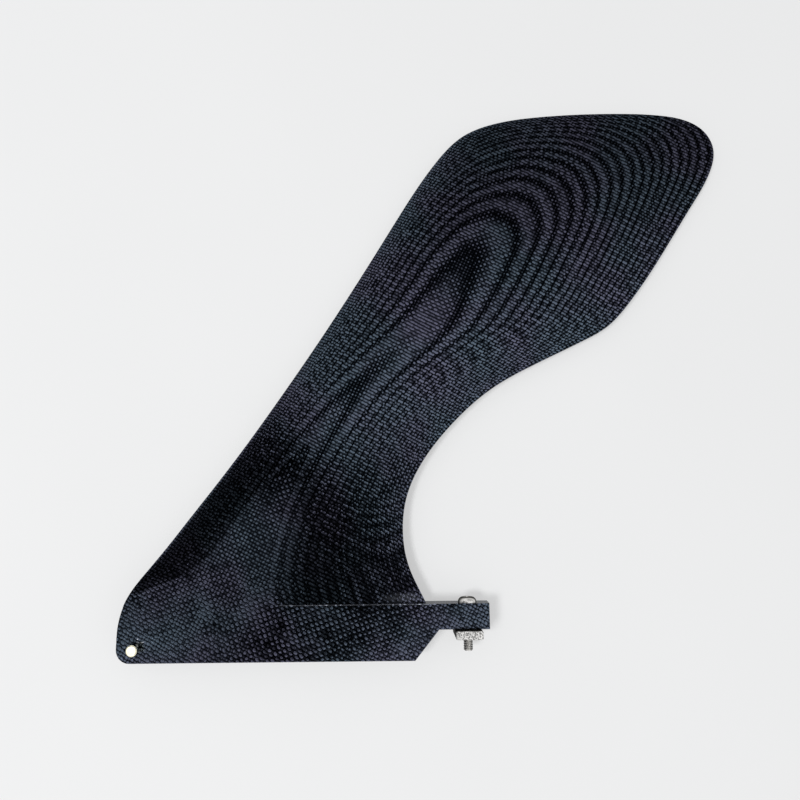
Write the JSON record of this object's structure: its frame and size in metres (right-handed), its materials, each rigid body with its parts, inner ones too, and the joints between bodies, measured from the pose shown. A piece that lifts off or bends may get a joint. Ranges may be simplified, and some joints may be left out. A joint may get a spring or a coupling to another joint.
{
  "type": "paddleboard fin",
  "caption": "Swept centre fin: foiled laminate blade over a flat base tab, with a cross pin in front and a screw and plate nut through the rear lug.",
  "frame": {"origin": "middle of the cross pin, on the panel's middle plane", "axes": "+X aft along the base, +Y from the base to the tip, +Z across the panel's thickness, up when the fin lies on its side"},
  "size_m": [0.274, 0.2526, 0.018],
  "materials": {
    "laminate": "satin machined woven laminate with its plies showing",
    "pin_brass": "bright turned brass",
    "screw_steel": "bright stainless",
    "nut_steel": "stamped stainless"
  },
  "bodies": {
    "root": {"fin": "laminate", "cross_pin": "pin_brass", "fin_screw": "screw_steel", "plate_nut": "nut_steel"}
  },
  "joints": []
}
